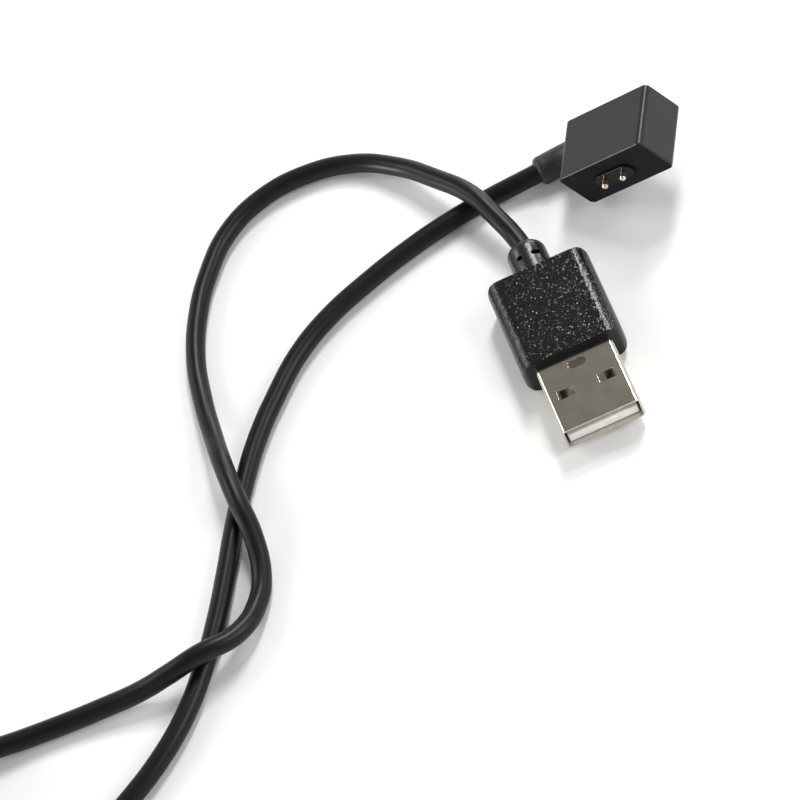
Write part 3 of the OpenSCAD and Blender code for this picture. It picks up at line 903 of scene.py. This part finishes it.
# Moulded elastomer: dull and a little dusty, so it shows as a flat dark band with no highlight
tie_elastomer, tree, principled = new_material("dull black elastomer, moulded", Roughness=0.6, IOR=1.5)
coords = add_node(tree, "TexCoord")
dust = add_node(
    tree, "TexNoise", {"Scale": 1 / (0.4 * mm), "Detail": 3.0}, {"Vector": coords.outputs["Object"]}
)
shade = add_node(
    tree, "ValToRGB", links={"Fac": dust.outputs["Fac"]}, stops=[(0.3, "#141414"), (0.7, "#1e1e1f")]
)
bump = add_node(tree, "Bump", {"Strength": 0.2, "Distance": 0.03 * mm}, {"Height": dust.outputs["Fac"]})
tree.links.new(shade.outputs["Color"], principled.inputs["Base Color"])
tree.links.new(bump.outputs["Normal"], principled.inputs["Normal"])
settle(tie, Matrix.Translation(coil_at), tie_elastomer, "cable", "coil_tie", slot="tie_rubber")


# ---- Cord ----
# A two-core cord of 3 mm with a smooth extruded jacket, 0.6 m long, limp enough to keep the bends
# it was packed in. It runs from the head to a coil of its spare length, and back to the plug.

HEAD_ROUTE = [
    (-9.6, 1.35, 2.25), (-10.8, 0.6, 2.25), (-12.8, -0.4, 2.05), (-14.9, -1.4, 1.8), (-17.7, -2.8, 1.5),
    (-24, -7.1, 1.5), (-29.5, -11.6, 1.5), (-35.1, -17, 1.5), (-40.3, -22.9, 1.5), (-44.1, -29.2, 1.5),
    (-46.6, -36.5, 1.5), (-48.4, -44.1, 1.5), (-49.2, -51.6, 1.5), (-49.5, -59, 1.5), (-49.5, -66.6, 1.5),
    (-49.7, -74, 1.5), (-50.4, -81.4, 1.5), (-51.9, -88.8, 1.5), (-54.6, -95.8, 1.5), (-58.6, -102.7, 1.5),
    (-63.6, -110, 1.5), (-69.4, -117.5, 1.6), (-75.6, -125, 1.8), (-82.4, -131.6, 2.1),
]
PLUG_ROUTE = [
    (-10.45, -14.5, 3.5), (-12, -12.1, 3.6), (-15.5, -8.4, 4.3), (-19.8, -4.4, 4.75), (-26.25, -0.5, 3.85),
    (-32.95, 2.95, 2.4), (-40.5, 4.5, 1.65), (-48.1, 3, 1.5), (-54.6, -1, 1.5), (-59.1, -7, 1.5),
    (-61.1, -14.5, 1.5), (-61.5, -22, 1.5), (-60.5, -29.7, 1.5), (-58.1, -37, 1.6), (-54.9, -44, 2.5),
    (-51.9, -49.6, 4.5), (-48.6, -55.6, 4.8), (-45.7, -60.9, 3.2), (-43.95, -66.5, 1.7), (-43.8, -71, 1.7),
    (-45.4, -76.65, 3.3), (-50.3, -80.9, 4.8), (-54.5, -83.5, 4), (-58.7, -85.5, 2.8), (-64.45, -87.75, 1.9),
    (-71.6, -90.7, 1.5), (-78.6, -93.8, 2), (-85.1, -96.7, 3.3), (-91.6, -99.5, 4.6), (-98.4, -102, 5.1),
]
COIL_START, COIL_TURN = -53, 917
STEP_IN_AT, STEP_IN_TURN = 300, 60
STEP_UP_AT, STEP_UP_TURN = 580, 110
STEP_OUT_AT = 720


def done(turned, start, turn):
    """Share of a step that is done after turning some degrees, when it starts at one and takes some."""
    return min(max((turned - start) / turn, 0), 1)


def coil_point(turned):
    """Centre of the cord after turning some degrees clockwise round the coil, in mm."""
    inner = done(turned, STEP_IN_AT, STEP_IN_TURN)
    raised = done(turned, STEP_UP_AT, STEP_UP_TURN)
    outer = done(turned, STEP_OUT_AT, COIL_TURN - STEP_OUT_AT)
    radius = COIL_OUT_R + (COIL_IN_R - COIL_OUT_R) * (inner - outer)
    angle = math.radians(COIL_START - turned)
    height = TIE_T + CORD_R + 2 * CORD_R * (3 * raised**2 - 2 * raised**3)
    return coil_at / mm + Vector((radius * math.cos(angle), radius * math.sin(angle), height))


coil_route = [coil_point(turned) for turned in range(20, COIL_TURN - 10, 20)]
route = [Vector(p) for p in HEAD_ROUTE] + coil_route + [Vector(p) for p in reversed(PLUG_ROUTE)]
cord_line = bpy.data.curves.new("cord", "CURVE")
cord_line.dimensions = "3D"
spline = cord_line.splines.new("BEZIER")
spline.bezier_points.add(len(route) - 1)
for point, at in zip(spline.bezier_points, route):
    point.co = at * mm
    point.handle_left_type = point.handle_right_type = "AUTO"
cord_line.bevel_depth = CORD_R * mm
cord_line.bevel_resolution = 7
cord_line.resolution_u = 8
cord_line.use_fill_caps = True
cord = bpy.data.objects.new("cord", cord_line)
scene.collection.objects.link(cord)

# Extruded TPE jacket: black with a soft broad sheen and slight waviness along its surface
cord_jacket, tree, principled = new_material(
    "black TPE jacket, extruded", Roughness=0.38, IOR=1.5, Specular_IOR_Level=0.26
)
coords = add_node(tree, "TexCoord")
waves = add_node(
    tree, "TexNoise", {"Scale": 1 / (2.2 * mm), "Detail": 3.0, "Roughness": 0.5},
    {"Vector": coords.outputs["Object"]},
)
shade = add_node(
    tree, "ValToRGB", links={"Fac": waves.outputs["Fac"]}, stops=[(0.3, "#08090a"), (0.7, "#0c0d0e")]
)
bump = add_node(tree, "Bump", {"Strength": 0.15, "Distance": 0.05 * mm}, {"Height": waves.outputs["Fac"]})
tree.links.new(shade.outputs["Color"], principled.inputs["Base Color"])
tree.links.new(bump.outputs["Normal"], principled.inputs["Normal"])
cord_line.materials.append(cord_jacket)

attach(cord, "cable")
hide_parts("cord_head_side", "cord_plug_side", "cord_coil")

low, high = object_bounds()
